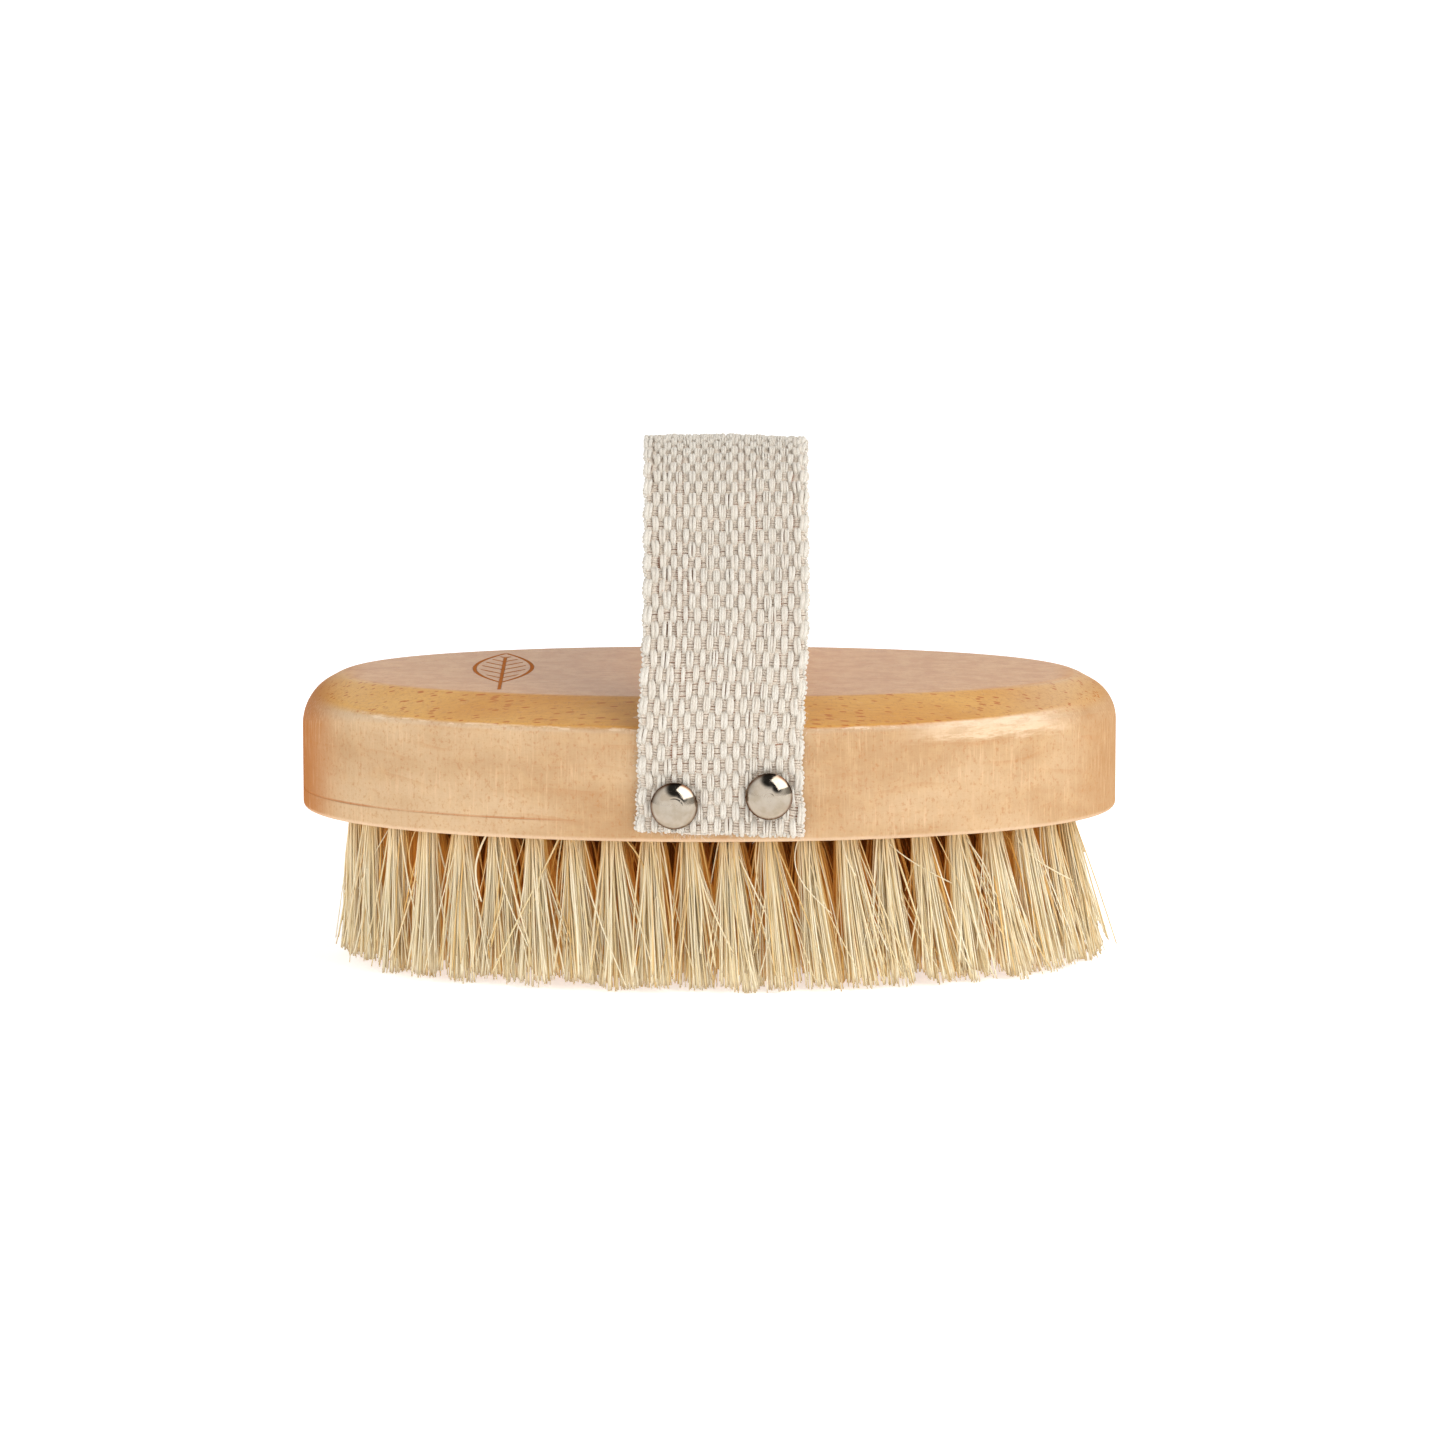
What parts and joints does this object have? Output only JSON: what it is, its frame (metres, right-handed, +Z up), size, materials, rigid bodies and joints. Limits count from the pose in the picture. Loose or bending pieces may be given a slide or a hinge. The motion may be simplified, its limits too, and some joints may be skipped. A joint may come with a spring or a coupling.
{
  "type": "body dry brush",
  "caption": "Oval wooden body brush with a bevelled block, plant-fibre tufts below and a cotton webbing hand loop nailed to its two long sides.",
  "frame": {"origin": "under the middle of the block, in the plane of the bristle tips", "axes": "+X along the block's long axis, +Y across it away from the front side, +Z up towards the hand loop"},
  "size_m": [0.13, 0.0782, 0.084],
  "materials": {
    "beech": "clear satin lacquer over beech, grain along X",
    "webbing": "undyed cotton webbing, coarse plain weave",
    "nickel": "polished nickel plate",
    "plant_fibre": "pale sisal-like plant fibre, slightly waxy",
    "anchor_wire": "plain flat steel wire"
  },
  "bodies": {
    "root": {"wooden_block": "beech", "webbing_strap": "webbing", "nail_front_left": "nickel", "nail_front_right": "nickel", "nail_rear_left": "nickel", "nail_rear_right": "nickel", "tufts_left_end": "plant_fibre", "tufts_left_outer": "plant_fibre", "tufts_left_inner": "plant_fibre", "tufts_middle": "plant_fibre", "tufts_right_inner": "plant_fibre", "tufts_right_outer": "plant_fibre", "tufts_right_end": "plant_fibre", "anchors_left_end": "anchor_wire", "anchors_left_outer": "anchor_wire", "anchors_left_inner": "anchor_wire", "anchors_middle": "anchor_wire", "anchors_right_inner": "anchor_wire", "anchors_right_outer": "anchor_wire", "anchors_right_end": "anchor_wire"}
  },
  "joints": []
}
